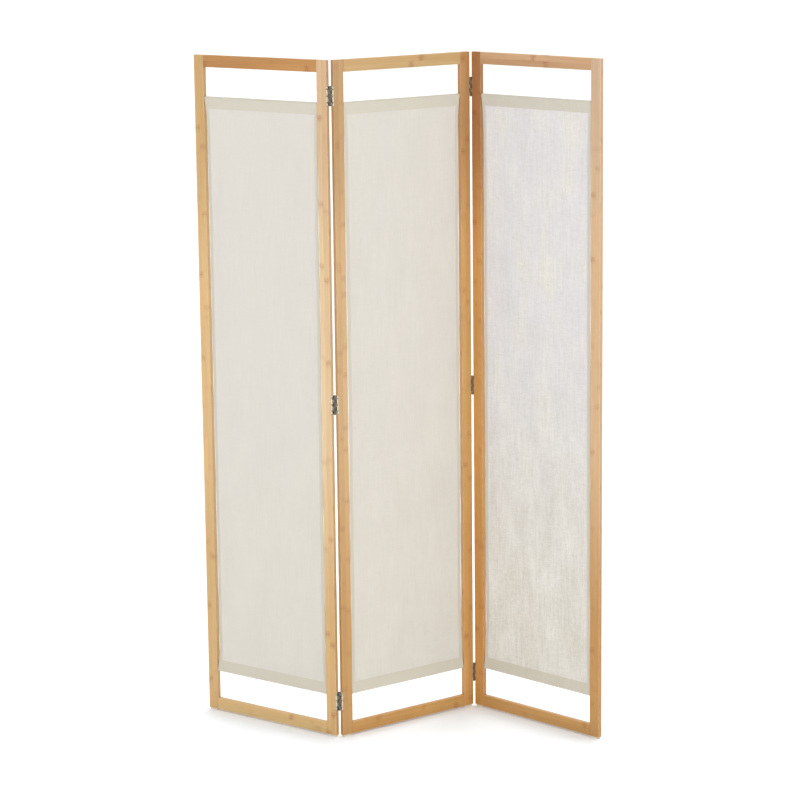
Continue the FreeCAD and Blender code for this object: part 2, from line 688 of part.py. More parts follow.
make_panel("left", {"right": True})
make_panel("middle", {"left": True, "right": False})
make_panel("right", {"left": False})
make_hinge_side("left", "right", True, "left_joint", carries_pin=True)
make_hinge_side("middle", "left", True, "left_joint", carries_pin=False)
make_hinge_side("middle", "right", False, "right_joint", carries_pin=False)
make_hinge_side("right", "left", False, "right_joint", carries_pin=True)
check_and_write()
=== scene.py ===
"""Looks of the folding room divider screen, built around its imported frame.

The bamboo boards, rods, dowels, hinges, screws and foot pads are the frame's own pieces and get their
materials here. The three plain cloths are replaced by sewn sheets, each with a sleeve round its two rods,
turned side hems and rows of stitches, and the sheets' folds come from a short cloth simulation.
"""

import json
import math

import bmesh
import bpy
import numpy as np
from mathutils import Matrix, Vector


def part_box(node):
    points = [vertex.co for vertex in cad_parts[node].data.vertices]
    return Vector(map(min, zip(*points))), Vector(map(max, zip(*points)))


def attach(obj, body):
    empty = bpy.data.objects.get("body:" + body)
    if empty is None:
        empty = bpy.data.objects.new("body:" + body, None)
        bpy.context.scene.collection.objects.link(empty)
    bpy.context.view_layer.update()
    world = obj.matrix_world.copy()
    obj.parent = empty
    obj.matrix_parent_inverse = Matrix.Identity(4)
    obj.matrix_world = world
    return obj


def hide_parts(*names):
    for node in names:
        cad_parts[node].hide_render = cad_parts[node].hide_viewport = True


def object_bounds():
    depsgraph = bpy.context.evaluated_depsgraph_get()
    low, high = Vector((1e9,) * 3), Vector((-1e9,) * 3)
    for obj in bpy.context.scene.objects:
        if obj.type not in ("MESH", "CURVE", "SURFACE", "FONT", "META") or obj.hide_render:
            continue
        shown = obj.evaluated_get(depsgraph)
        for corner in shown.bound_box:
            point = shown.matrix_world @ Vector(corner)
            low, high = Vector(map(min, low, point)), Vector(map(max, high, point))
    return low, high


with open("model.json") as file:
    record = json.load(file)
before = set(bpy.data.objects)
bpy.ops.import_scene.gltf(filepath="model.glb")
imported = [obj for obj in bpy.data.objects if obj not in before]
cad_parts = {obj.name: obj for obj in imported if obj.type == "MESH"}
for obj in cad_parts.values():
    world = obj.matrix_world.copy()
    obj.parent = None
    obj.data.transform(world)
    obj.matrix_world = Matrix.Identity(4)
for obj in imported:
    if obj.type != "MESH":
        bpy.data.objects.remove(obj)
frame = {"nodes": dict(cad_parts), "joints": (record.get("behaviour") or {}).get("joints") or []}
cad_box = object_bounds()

PANELS = ("left", "middle", "right")
MM = 0.001

# The camera stands in front of the screen and looks slightly down on it.
CAMERA_PLACE = Vector((-0.008, -6.9648, 2.2798))
CAMERA_YAW = math.radians(-0.115)
CAMERA_PITCH = math.radians(10.623)
CAMERA_ROLL = math.radians(0.631)
CAMERA_LENS = 121.28
CAMERA_SHIFT = -0.04

# The studio.
WORLD_AT_HORIZON = 1.0
WORLD_OVERHEAD = 0.78
WORLD_FADE = (0.04, 0.3)
OVERHEAD_TOWARDS = (0.03, 0.08, 1.0)
OVERHEAD_STRENGTH = 1.6
OVERHEAD_SPREAD = math.radians(14)
FLOOR_REACH = 60.0
FLOOR_LIGHT = (0.925, 0.95, 0.97, 1.0)
FLOOR_DARK = (0.905, 0.93, 0.95, 1.0)

# The cloth, in metres.
CLOTH_THICKNESS = 0.5 * MM
ROD_EASE = 0.1 * MM
SLEEVE_HEIGHT = 32 * MM
SEAM_GAP = 0.62 * MM
SEAM_STITCH_INSET = 2.5 * MM
HEM_WIDTH = 10 * MM
HEM_STITCH_INSET = 8 * MM
HEM_FRONT_RISE = 0.12 * MM
HEM_BACK_RISE = 0.6 * MM
STITCH_DIP = 0.12 * MM
EDGE_ROUND = 0.3 * MM
NECK_IN = 3.6 * MM
NECK_LENGTH = 30 * MM
SLEEVE_END_EASE = 0.2 * MM

# Spacing of the sheet's mesh.
ROW_STEP = 9 * MM
SLEEVE_STEP = 3 * MM
COLUMN_STEP = 6 * MM
ARC_STEPS = 12
SEAM_ROWS = (1.2 * MM, 3 * MM, 5.5 * MM, 9 * MM, 13.5 * MM, 19 * MM, 26 * MM)
OUTER_COLUMNS = (0, 0.1 * MM, 0.3 * MM, 1.5 * MM, 4 * MM, 7.2 * MM)
EDGE_COLUMNS = (*OUTER_COLUMNS, HEM_STITCH_INSET, 8.8 * MM, 9.8 * MM, 10.5 * MM)
HEM_STITCH_COLUMN = EDGE_COLUMNS.index(HEM_STITCH_INSET)
STITCH_ROW = 4

# Folds of the sheet.
SQUEEZE = 0.0035
SIM_STEP = 11 * MM
SIM_FRAMES = 24
SIM_SETTINGS = {
    "quality": 6,
    "mass": 0.02,
    "tension_stiffness": 40,
    "compression_stiffness": 40,
    "shear_stiffness": 8,
    "bending_stiffness": 0.6,
    "air_damping": 3,
}
START_DEPTH = 0.2 * MM
START_WAVES = (0.043, 0.061, 0.089, 0.127)
FOLD_LIMIT = 2.2 * MM
PUCKER = 0.22 * MM
PUCKER_REACH = 14 * MM
PUCKER_WAVES = (0.0083, 0.0117, 0.0171)
CREASE_DEPTH = 0.8 * MM
CREASE_WIDTH = 3.5 * MM
CREASE_DRIFT = 5 * MM
CREASE_SHARES = {"left": (0.27, 0.52, 0.77), "middle": (0.3, 0.55, 0.8), "right": (0.24, 0.5, 0.75)}
WARP_DEPTH = 0.35 * MM
EDGE_WANDER = 0.35 * MM
SEAM_FADE = 30 * MM

# Stitches.
STITCH_PITCH = 3.6 * MM
STITCH_LENGTH = 2.9 * MM
THREAD_RADIUS = 0.2 * MM
THREAD_SIDES = 4
THREAD_TWIST = 0.5 * MM
STITCH_GROOVE = 0.7 * MM
STITCH_RINGS = ((-0.32, 0.85, 0.1), (0.0, 1.0, 0.45), (0.32, 0.85, 0.1))
STITCH_END_DIP = -1.1
WELD_DISTANCE = 0.002 * MM

# Bamboo boards.
STRIP_WIDTH = 16 * MM
STRIP_DEPTH = 6 * MM
NODE_SPACING = 0.23
NODE_BEND = 4.5 * MM
NODE_RAGGED = 1.2 * MM
WORN_FROM = 1.8 * MM
WORN_TO = 0.3 * MM

# Hinges: the barrels get painted shade and reflection, a dark colour for the shaded joint and the dark wood
# they reflect, out to this distance from their axes.
BARREL_SHADE_FULLY = 3.35 * MM
BARREL_SHADE_EDGE = 3.8 * MM
# How far the painted shade in the steel's recesses reaches.
RECESS_REACH = 1.6 * MM


def linear(red, green, blue):
    """A colour given as 0 to 255 display values, as the shaders want it."""
    shares = (value / 255 for value in (red, green, blue))
    parts = [s / 12.92 if s <= 0.04045 else ((s + 0.055) / 1.055) ** 2.4 for s in shares]
    return (*parts, 1.0)


def smooth_step(low, high, value):
    share = np.clip((value - low) / (high - low), 0, 1)
    return share * share * (3 - 2 * share)


# ---------------------------------------------------------------- where the panels stand

def box_centre(node):
    low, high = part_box(node)
    return (low + high) / 2


def panel_frame(panel):
    """The panel's own frame: X along its width, Y towards its back, Z up, midway between its stiles."""
    left = box_centre(f"{panel}_panel_left_stile")
    right = box_centre(f"{panel}_panel_right_stile")
    run = right - left
    turn = Matrix.Rotation(math.atan2(run.y, run.x), 4, "Z")
    middle = (left + right) / 2
    return Matrix.Translation((middle.x, middle.y, 0)) @ turn


def local_box(panel, node):
    """Lowest and highest corner of a node in its panel's own frame."""
    to_panel = panel_frame(panel).inverted()
    points = np.array([to_panel @ v.co for v in frame["nodes"][node].data.vertices])
    return points.min(axis=0), points.max(axis=0)


# ---------------------------------------------------------------- materials

class Tree:
    """Builds a material's node tree. Each method adds a node and returns the socket it makes."""

    def __init__(self, name):
        self.material = bpy.data.materials.new(name)
        self.material.use_nodes = True
        self.tree = self.material.node_tree
        self.tree.nodes.clear()

    def node(self, kind, **settings):
        made = self.tree.nodes.new("ShaderNode" + kind)
        for name, value in settings.items():
            setattr(made, name, value)
        return made

    def give(self, socket, value):
        """Gives an input a plain value, or links it to the socket that makes the value."""
        if isinstance(value, bpy.types.NodeSocket):
            self.tree.links.new(value, socket)
        else:
            socket.default_value = value

    def math(self, operation, *values):
        made = self.node("Math", operation=operation)
        for socket, value in zip(made.inputs, values):
            self.give(socket, value)
        return made.outputs[0]

    def places(self, turn=None):
        """Object coordinates in metres, taken through a matrix where one is given."""
        coordinates = self.node("TexCoord").outputs["Object"]
        if turn is None:
            return coordinates
        made = self.node("Mapping")
        self.give(made.inputs["Vector"], coordinates)
        made.inputs["Location"].default_value = turn.to_translation()
        made.inputs["Rotation"].default_value = turn.to_euler()
        return made.outputs[0]

    def split(self, vector):
        made = self.node("SeparateXYZ")
        self.give(made.inputs[0], vector)
        return made.outputs[0], made.outputs[1], made.outputs[2]

    def vector(self, *values):
        made = self.node("CombineXYZ")
        for socket, value in zip(made.inputs, values):
            self.give(socket, value)
        return made.outputs[0]

    def scaled(self, vector, *factors):
        made = self.node("VectorMath", operation="MULTIPLY")
        self.give(made.inputs[0], vector)
        made.inputs[1].default_value = factors
        return made.outputs[0]

    def noise(self, vector, detail=2.0, roughness=0.5, seed=0.0):
        """Smooth noise from 0 to 1 with cells one unit wide."""
        made = self.node("TexNoise", noise_dimensions="4D")
        self.give(made.inputs["Vector"], vector)
        made.inputs["W"].default_value = seed
        made.inputs["Scale"].default_value = 1.0
        made.inputs["Detail"].default_value = detail
        made.inputs["Roughness"].default_value = roughness
        return made.outputs[0]

    def randoms(self, vector):
        """Three random numbers from 0 to 1 that stay the same while the vector does."""
        made = self.node("TexWhiteNoise", noise_dimensions="3D")
        self.give(made.inputs["Vector"], vector)
        parts = self.node("SeparateColor")
        self.give(parts.inputs[0], made.outputs["Color"])
        return parts.outputs[0], parts.outputs[1], parts.outputs[2]

    def ease(self, value, start, end, low=0.0, high=1.0):
        """Goes smoothly from low to high while the value goes from start to end."""
        made = self.node("MapRange", interpolation_type="SMOOTHSTEP")
        for socket, given in zip(made.inputs, (value, start, end, low, high)):
            self.give(socket, given)
        return made.outputs[0]

    def spread(self, value, low, high):
        """Takes a value from 0 to 1 to low to high."""
        made = self.node("MapRange")
        for socket, given in zip(made.inputs, (value, 0.0, 1.0, low, high)):
            self.give(socket, given)
        return made.outputs[0]

    def mix(self, share, first, second, blend="MIX"):
        made = self.node("Mix", data_type="RGBA", blend_type=blend)
        self.give(made.inputs[0], share)
        self.give(made.inputs[6], first)
        self.give(made.inputs[7], second)
        return made.outputs[2]

    def grey(self, value):
        made = self.node("CombineColor")
        for socket in made.inputs:
            self.give(socket, value)
        return made.outputs[0]

    def bump(self, height, distance, strength=1.0):
        made = self.node("Bump")
        made.inputs["Strength"].default_value = strength
        made.inputs["Distance"].default_value = distance
        self.give(made.inputs["Height"], height)
        return made.outputs[0]

    def surface(self, **values):
        """The Principled shader, with its sockets named in lower case with underscores."""
        made = self.node("BsdfPrincipled")
        sockets = {socket.name.lower().replace(" ", "_"): socket for socket in made.inputs}
        for name, value in values.items():
            self.give(sockets[name], value)
        return made.outputs[0]

    def finish(self, shader):
        made = self.node("OutputMaterial")
        self.give(made.inputs["Surface"], shader)
        return self.material


BAMBOO_LIGHT = linear(233, 200, 154)
BAMBOO_DARK = linear(205, 160, 104)
BAMBOO_MARK = linear(166, 90, 48)
BAMBOO_PORE = linear(170, 116, 66)
BAMBOO_WARM = linear(214, 158, 92)
BAMBOO_GLUE = linear(150, 98, 52)
BAMBOO_WORN = linear(240, 214, 172)


def growth_marks(t, place, column, strip_phase, fibre, seed):
    """How dark the scars are that the cane's nodes leave: two short ragged lines each, in a faint halo."""
    across, _, along = t.split(place)
    run = t.math("ADD", t.math("DIVIDE", along, NODE_SPACING), t.math("MULTIPLY", strip_phase, 7.0))
    cell = t.math("FLOOR", run)
    node_shift, node_weight, node_tilt = t.randoms(t.vector(t.math("ADD", column, 0.37), cell, seed + 5.0))
    node_middle = t.math("ADD", cell, t.spread(node_shift, 0.2, 0.8))
    tilt = t.math("MULTIPLY", across, t.spread(node_tilt, -0.3, 0.3))
    bend = t.spread(t.noise(t.scaled(place, 190, 190, 30), 1.0, 0.5, seed + 1.9), -NODE_BEND, NODE_BEND)
    rough = t.noise(t.scaled(place, 1500, 1500, 120), 2.0, 0.6, seed + 6.4)
    ragged = t.spread(rough, -NODE_RAGGED, NODE_RAGGED)
    away = t.math("MULTIPLY", t.math("SUBTRACT", run, node_middle), NODE_SPACING)
    away = t.math("ADD", t.math("ADD", away, tilt), t.math("ADD", bend, ragged))

    scar = t.ease(t.math("ABSOLUTE", away), 3 * MM, 0.5 * MM)
    ridge = t.ease(t.math("ABSOLUTE", t.math("SUBTRACT", away, 6 * MM)), 3 * MM, 0.3 * MM)
    near = t.ease(t.math("ABSOLUTE", away), 14 * MM, 2 * MM)
    halo = t.math("MULTIPLY", near, t.ease(fibre, 0.34, 0.6))
    broken = t.spread(t.noise(t.scaled(place, 420, 420, 60), 2.0, 0.5, seed + 7.7), 0.3, 1.2)
    mark = t.math("MAXIMUM", scar, t.math("MULTIPLY", ridge, 0.65))
    mark = t.math("MULTIPLY", mark, broken)
    mark = t.math("MAXIMUM", mark, t.math("MULTIPLY", halo, 0.55))
    return t.math("MULTIPLY", mark, t.ease(node_weight, 0.0, 0.8, 0.15, 1.0))


def worn_edges(t, place, half_width, half_depth, seed):
    """How far the board's long edges are rubbed pale."""
    across, depth, _ = t.split(place)
    worn_across = t.ease(t.math("ABSOLUTE", across), half_width - WORN_FROM, half_width - WORN_TO)
    worn_depth = t.ease(t.math("ABSOLUTE", depth), half_depth - WORN_FROM, half_depth - WORN_TO)
    rub = t.ease(t.noise(t.scaled(place, 160, 160, 40), 3.0, 0.6, seed + 8.3), 0.35, 0.7)
    return t.math("MULTIPLY", t.math("MULTIPLY", worn_across, worn_depth), rub)


def tone_and_light_along(t, along, half_length, tones_and_light):
    """The board's tone with its painted light and shade, going from the first of its tone factors at its
    start to the last at its end.
    """
    start, middle, end = ((*tone, 1.0) for tone in tones_and_light)
    share = t.math("DIVIDE", along, half_length)
    tone = t.mix(t.ease(share, 0.0, -0.75), middle, start)
    return t.mix(t.ease(share, 0.35, 0.8), tone, end)


def bamboo(name, board, half_sizes, tones_and_light, seed):
    """Pressed bamboo in strips along the board's Z, with fine fibres, growth nodes and worn edges.

    board is the matrix into the board's own frame, half_sizes are its half width, depth and length there,
    and its three tone factors multiply its colours at its start, middle and end; they hold the canes' own
    colour and also painted light and shade.
    """
    t = Tree(name)
    place = t.places(board)
    across, depth, along = t.split(place)
    half_width, half_depth, half_length = half_sizes
    tone = tone_and_light_along(t, along, half_length, tones_and_light)
    column = t.math("FLOOR", t.math("DIVIDE", across, STRIP_WIDTH))
    layer = t.math("FLOOR", t.math("DIVIDE", depth, STRIP_DEPTH))
    strip_tone, strip_phase, strip_warmth = t.randoms(t.vector(column, layer, seed))

    fibre = t.noise(t.scaled(place, 1100, 1100, 7), 3.0, 0.6, seed)
    fine = t.noise(t.scaled(place, 3800, 3800, 24), 2.0, 0.6, seed + 0.7)
    cloud = t.noise(t.scaled(place, 26, 26, 3.2), 2.0, 0.5, seed + 3.1)
    grain = t.math("ADD", t.math("MULTIPLY", fibre, 0.65), t.math("MULTIPLY", fine, 0.35))
    shade = t.ease(grain, 0.32, 0.68)
    pores = t.ease(t.noise(t.scaled(place, 2300, 2300, 55), 2.0, 0.55, seed + 2.2), 0.6, 0.72)
    mark = growth_marks(t, place, column, strip_phase, fibre, seed)
    worn = worn_edges(t, place, half_width, half_depth, seed)
    place_in_strip = t.math("FRACT", t.math("DIVIDE", across, STRIP_WIDTH))
    glue_line = t.ease(t.math("ABSOLUTE", t.math("SUBTRACT", place_in_strip, 0.5)), 0.485, 0.5)

    colour = t.mix(t.spread(shade, 0.0, 0.72), BAMBOO_LIGHT, BAMBOO_DARK)
    colour = t.mix(t.math("MULTIPLY", pores, 0.35), colour, BAMBOO_PORE)
    colour = t.mix(t.math("MULTIPLY", strip_warmth, 0.3), colour, BAMBOO_WARM)
    brightness = t.math("MULTIPLY", t.spread(strip_tone, 0.9, 1.04), t.spread(cloud, 0.88, 1.12))
    colour = t.mix(1.0, colour, t.grey(brightness), "MULTIPLY")
    # The board's tone factors here carry painted light and shade as well as the canes' own colour.
    colour = t.mix(1.0, colour, tone, "MULTIPLY")
    colour = t.mix(t.math("MULTIPLY", mark, 0.75), colour, t.mix(1.0, BAMBOO_MARK, tone, "MULTIPLY"))
    colour = t.mix(t.math("MULTIPLY", glue_line, 0.3), colour, BAMBOO_GLUE)
    colour = t.mix(t.math("MULTIPLY", worn, 0.3), colour, BAMBOO_WORN)

    height = t.math("SUBTRACT", grain, t.math("MULTIPLY", t.math("ADD", mark, pores), 0.5))
    height = t.math("SUBTRACT", height, t.math("MULTIPLY", glue_line, 0.4))
    return t.finish(t.surface(
        base_color=colour,
        roughness=t.math("ADD", t.spread(shade, 0.36, 0.5), t.math("MULTIPLY", worn, 0.12)),
        normal=t.bump(height, 0.12 * MM, 0.6),
        specular_ior_level=0.45,
        coat_weight=0.22,
        coat_roughness=0.24,
    ))


def turned_wood(name, seed):
    """Pale rod and dowel wood: growth rings and short dark pores."""
    t = Tree(name)
    place = t.places()
    rings = t.noise(t.scaled(place, 900, 900, 30), 3.0, 0.55, seed)
    pores = t.ease(t.noise(t.scaled(place, 2600, 2600, 120), 2.0, 0.5, seed + 2.0), 0.62, 0.74)
    colour = t.mix(t.ease(rings, 0.32, 0.7), linear(226, 196, 152), linear(196, 158, 110))
    colour = t.mix(t.math("MULTIPLY", pores, 0.45), colour, linear(128, 90, 54))
    return t.finish(t.surface(
        base_color=colour,
        roughness=t.spread(rings, 0.5, 0.7),
        normal=t.bump(t.math("SUBTRACT", rings, pores), 0.08 * MM, 0.6),
    ))


CLOTH_LIGHT = linear(237, 232, 222)
CLOTH_DARK = linear(212, 205, 190)
CLOTH_FOLDED_SHADE = linear(208, 201, 183)
CLOTH_COOL_WHITE = linear(231, 228, 233)
CLOTH_GLOW = linear(248, 248, 250)
CLOTH_SHADE = linear(220, 218, 214)
CLOTH_YARN = 0.8 * MM
LAYERS = "layers"
CLOTH_MOTTLE = {"left": 0.3, "middle": 0.35, "right": 1.25}
CLOTH_CLARITY = {"left": 0.34, "middle": 0.34, "right": 0.42}
CLOTH_COOLING = {"left": 0.15, "middle": 0.1, "right": 0.7}


def cloth(name, seed, mottle, clarity, cooling):
    """Plain-woven cotton and linen: crossing yarns with slubs, soft mottling, light coming through, and
    painted shade where it lies double.

    mottle is how blotchy it is, clarity is how much light it lets through, and the last is how far its
    upper part is mixed towards a cooler white, in patches.
    """
    t = Tree(name)
    place = t.places()
    across, _, along = t.split(place)
    warp = t.math("SINE", t.math("MULTIPLY", across, 2 * math.pi / CLOTH_YARN))
    weft = t.math("SINE", t.math("MULTIPLY", along, 2 * math.pi / CLOTH_YARN))
    weave = t.math("MULTIPLY", t.math("ADD", t.math("MULTIPLY", warp, weft), 1.0), 0.5)
    layers = t.node("Attribute", attribute_name=LAYERS).outputs["Fac"]
    warp_slub = t.noise(t.scaled(place, 1100, 300, 16), 3.0, 0.6, seed)
    weft_slub = t.noise(t.scaled(place, 16, 300, 1100), 3.0, 0.6, seed + 1.3)
    streak = t.noise(t.scaled(place, 170, 60, 11), 3.0, 0.7, seed + 2.9)
    cloud = t.noise(t.scaled(place, 15, 10, 6), 3.0, 0.6, seed + 4.1)
    upright = t.noise(t.scaled(place, 560, 200, 70), 2.0, 0.7, seed + 6.2)
    level = t.noise(t.scaled(place, 70, 200, 560), 2.0, 0.7, seed + 7.4)
    fleck = t.math("MULTIPLY", t.math("ADD", upright, level), 0.5)

    slub = t.math("MAXIMUM", t.ease(warp_slub, 0.52, 0.76), t.ease(weft_slub, 0.54, 0.78))
    uneven = t.math("MULTIPLY", t.math("SUBTRACT", streak, 0.5), 1.1)
    uneven = t.math("ADD", uneven, t.math("MULTIPLY", t.math("SUBTRACT", cloud, 0.5), 0.9))
    uneven = t.math("ADD", uneven, t.math("MULTIPLY", t.math("SUBTRACT", fleck, 0.5), 2.2))
    tone = t.math("ADD", t.math("MULTIPLY", uneven, mottle), 0.28)
    tone = t.math("ADD", tone, t.math("MULTIPLY", slub, 0.14))
    tone = t.math("ADD", tone, t.math("MULTIPLY", weave, 0.3))
    colour = t.mix(tone, CLOTH_LIGHT, CLOTH_DARK)
    # The upper part goes towards a cooler white in patches.
    cooled = t.math("MULTIPLY", t.ease(cloud, 0.3, 0.56), t.ease(along, 0.3, 1.2, 0.0, cooling))
    colour = t.mix(cooled, colour, CLOTH_COOL_WHITE)
    # Painted shade: darker where the cloth lies double, standing in for the light that comes through less
    # there.
    colour = t.mix(t.math("MULTIPLY", layers, 0.8), colour, CLOTH_FOLDED_SHADE)
    glow = t.mix(tone, CLOTH_GLOW, CLOTH_SHADE)

    height = t.math("ADD", t.math("MULTIPLY", weave, 0.7), t.math("MULTIPLY", slub, 0.8))
    bump = t.bump(height, 0.16 * MM, 0.8)
    front = t.surface(
        base_color=colour,
        roughness=t.spread(weave, 0.78, 0.92),
        normal=bump,
        specular_ior_level=0.25,
        sheen_weight=0.2,
        sheen_roughness=0.5,
    )
    through = t.node("BsdfTranslucent")
    t.give(through.inputs["Color"], glow)
    t.give(through.inputs["Normal"], bump)
    both = t.node("MixShader")
    open_weave = t.spread(t.ease(fleck, 0.4, 0.6), clarity - 0.06, clarity + 0.06)
    t.give(both.inputs[0], t.math("MULTIPLY", open_weave, t.spread(layers, 1.0, 0.3)))
    t.give(both.inputs[1], front)
    t.give(both.inputs[2], through.outputs[0])
    return t.finish(both.outputs[0])


def thread(name, seed):
    """Off-white sewing thread with its twist and stray fibres."""
    t = Tree(name)
    place = t.places()
    fuzz = t.noise(t.scaled(place, 2400, 2400, 2400), 3.0, 0.6, seed)
    across, _, along = t.split(place)
    twist = t.math("SINE", t.math("MULTIPLY", t.math("ADD", across, along), 2 * math.pi / THREAD_TWIST))
    return t.finish(t.surface(
        base_color=t.mix(t.ease(fuzz, 0.3, 0.7), linear(240, 234, 220), linear(214, 205, 186)),
        roughness=t.spread(fuzz, 0.55, 0.75),
        normal=t.bump(t.math("ADD", fuzz, t.math("MULTIPLY", twist, 0.3)), 0.06 * MM, 0.6),
        sheen_weight=0.3,
    ))


STEEL_RECESS_SHADE = linear(92, 84, 72)
STEEL_BARREL_SHADE = linear(70, 60, 46)


def steel(name, base, shaded, roughness, seed, barrels=()):
    """Plated steel: polished streaks, fine scratches, dull patches and painted shade in its recesses.

    barrels are the upright axes that it is rolled round, where a painted shade and reflection darkens it.
    """
    t = Tree(name)
    place = t.places()
    streaks = t.noise(t.scaled(place, 2200, 2200, 160), 3.0, 0.6, seed)
    patches = t.noise(t.scaled(place, 170, 170, 170), 3.0, 0.6, seed + 1.0)
    scratch = t.ease(t.noise(t.scaled(place, 900, 5200, 700), 2.0, 0.5, seed + 2.0), 0.66, 0.74)
    colour = t.mix(t.ease(patches, 0.4, 0.8), base, shaded)
    # Painted shade: the colour darkens where the surface is occluded, in its recesses.
    recess = t.node("AmbientOcclusion", samples=6)
    recess.inputs["Distance"].default_value = RECESS_REACH
    open_share = t.ease(recess.outputs["AO"], 0.3, 0.85)
    colour = t.mix(open_share, STEEL_RECESS_SHADE, colour)
    for axis in barrels:
        away = t.node("VectorMath", operation="DISTANCE")
        t.give(away.inputs[0], t.scaled(place, 1, 1, 0))
        away.inputs[1].default_value = (axis.x, axis.y, 0)
        # Painted shade and reflection: the colour darkens near the barrel's axis.
        barrel_shade = t.ease(away.outputs["Value"], BARREL_SHADE_EDGE, BARREL_SHADE_FULLY)
        colour = t.mix(t.math("MULTIPLY", barrel_shade, t.spread(patches, 0.8, 1.0)), colour, STEEL_BARREL_SHADE)
    patchy = t.spread(patches, roughness - 0.08, roughness + 0.14)
    return t.finish(t.surface(
        base_color=colour,
        metallic=1.0,
        roughness=t.math("ADD", patchy, t.math("MULTIPLY", scratch, 0.12)),
        normal=t.bump(t.math("ADD", t.math("MULTIPLY", streaks, 0.4), scratch), 0.02 * MM, 0.5),
    ))


def felt(name, seed):
    """Cream felt: a mat of short fibres, patchily darker towards its bottom."""
    t = Tree(name)
    place = t.places()
    fibres = t.noise(t.scaled(place, 1800, 1800, 900), 4.0, 0.7, seed)
    mat = t.noise(t.scaled(place, 420, 420, 420), 3.0, 0.6, seed + 1.0)
    # Patchily darker towards the pad's bottom.
    low_darkening = t.ease(t.split(place)[2], 2.4 * MM, 0.0, 0.0, 0.35)
    colour = t.mix(t.ease(fibres, 0.3, 0.7), linear(240, 231, 212), linear(206, 193, 168))
    colour = t.mix(t.math("MULTIPLY", low_darkening, mat), colour, linear(140, 126, 106))
    return t.finish(t.surface(
        base_color=colour,
        roughness=t.spread(mat, 0.85, 1.0),
        normal=t.bump(t.math("ADD", fibres, mat), 0.3 * MM, 0.8),
        sheen_weight=0.4,
    ))


# Each board is cut from other canes, so their colours differ: tone factors at its foot or left end, at its
# middle, and at its head or right end. They also hold painted light and shade, such as the painted shade at
# the head of right_panel_left_stile.
BOARD_TONES_AND_LIGHT = {
    "left_panel_left_stile": ((0.81, 0.77, 0.6), (0.91, 0.9, 0.77), (0.77, 0.71, 0.54)),
    "left_panel_right_stile": ((0.88, 0.84, 0.66), (1.03, 1.12, 1.28), (0.86, 0.88, 0.98)),
    "left_panel_top_rail": ((0.65, 0.45, 0.22),) * 3,
    "left_panel_bottom_rail": ((0.84, 0.86, 0.72),) * 3,
    "middle_panel_left_stile": ((0.72, 0.6, 0.37), (0.82, 0.81, 0.79), (0.68, 0.62, 0.54)),
    "middle_panel_right_stile": ((0.78, 0.62, 0.36), (0.8, 0.7, 0.49), (0.62, 0.49, 0.35)),
    "middle_panel_top_rail": ((0.7, 0.69, 0.6),) * 3,
    "middle_panel_bottom_rail": ((0.72, 0.57, 0.29),) * 3,
    "right_panel_left_stile": ((0.78, 0.57, 0.28), (0.83, 0.64, 0.36), (0.52, 0.34, 0.21)),
    "right_panel_right_stile": ((0.69, 0.54, 0.3), (0.9, 0.9, 0.98), (0.84, 0.88, 1.1)),
    "right_panel_top_rail": ((0.73, 0.65, 0.67),) * 3,
    "right_panel_bottom_rail": ((0.71, 0.55, 0.28),) * 3,
}


def board_matrix(panel, node, upright):
    """From the row frame to the board's own: X across its face, Y through it, Z along its grain."""
    low, high = local_box(panel, node)
    to_centre = Matrix.Translation(-Vector((low + high) / 2)) @ panel_frame(panel).inverted()
    if upright:
        return to_centre
    return Matrix.Rotation(math.radians(90), 4, "Y") @ to_centre


def set_material(node, material):
    holder = frame["nodes"][node]
    if not holder.material_slots:
        holder.data.materials.append(material)
    for slot in holder.material_slots:
        slot.material = material


def finish_boards():
    boards = [(f"{side}_stile", True) for side in ("left", "right")]
    boards += [(f"{end}_rail", False) for end in ("bottom", "top")]
    for panel in PANELS:
        for board, upright in boards:
            node = f"{panel}_panel_{board}"
            low, high = local_box(panel, node)
            half = (high - low) / 2
            half_sizes = tuple(half) if upright else tuple(reversed(half))
            seed = 1.0 + PANELS.index(panel) * 10 + boards.index((board, upright)) * 2.3
            matrix = board_matrix(panel, node, upright)
            set_material(node, bamboo(f"bamboo_{node}", matrix, half_sizes, BOARD_TONES_AND_LIGHT[node], seed))


def finish_small_pieces():
    """Materials of every carried-over node that isn't a board or a cloth, by how its name ends."""
    axes = [Vector(joint["pos_m"]) for joint in frame["joints"]]
    finishes = {
        "_leaf": steel("hinge_plate", linear(246, 241, 226), linear(222, 214, 196), 0.22, 4.0, axes),
        "_foot": felt("foot_felt", 2.0),
        "_rod": turned_wood("rod_wood", 3.0),
        "_dowels": turned_wood("dowel_wood", 7.0),
        # The pin's dark colours are painted shade, like the darkened barrels.
        "_pin": steel("hinge_pin", linear(92, 82, 66), linear(66, 58, 44), 0.24, 5.0),
        "_screws": steel("screw_steel", linear(150, 142, 128), linear(112, 104, 90), 0.3, 6.0),
    }
    for node in frame["nodes"]:
        for ending, material in finishes.items():
            if node.endswith(ending):
                set_material(node, material)


# ---------------------------------------------------------------- the sewn sheets

def smooth_waves(positions, rng, lengths):
    """A sum of waves of the given lengths with random phases, about 1 high."""
    total = np.zeros_like(positions, dtype=float)
    for length in lengths:
        total += np.sin(2 * np.pi * positions / length + rng.uniform(0, 2 * np.pi))
    return total / math.sqrt(len(lengths))


def grid_faces(rows, columns, offset, flip):
    """Faces between neighbouring points of a grid whose first point has the number offset."""
    index = np.arange(rows * columns).reshape(rows, columns) + offset
    corners = [index[:-1, :-1], index[:-1, 1:], index[1:, 1:], index[1:, :-1]]
    if flip:
        corners.reverse()
    return np.stack([corner.ravel() for corner in corners], axis=-1).tolist()


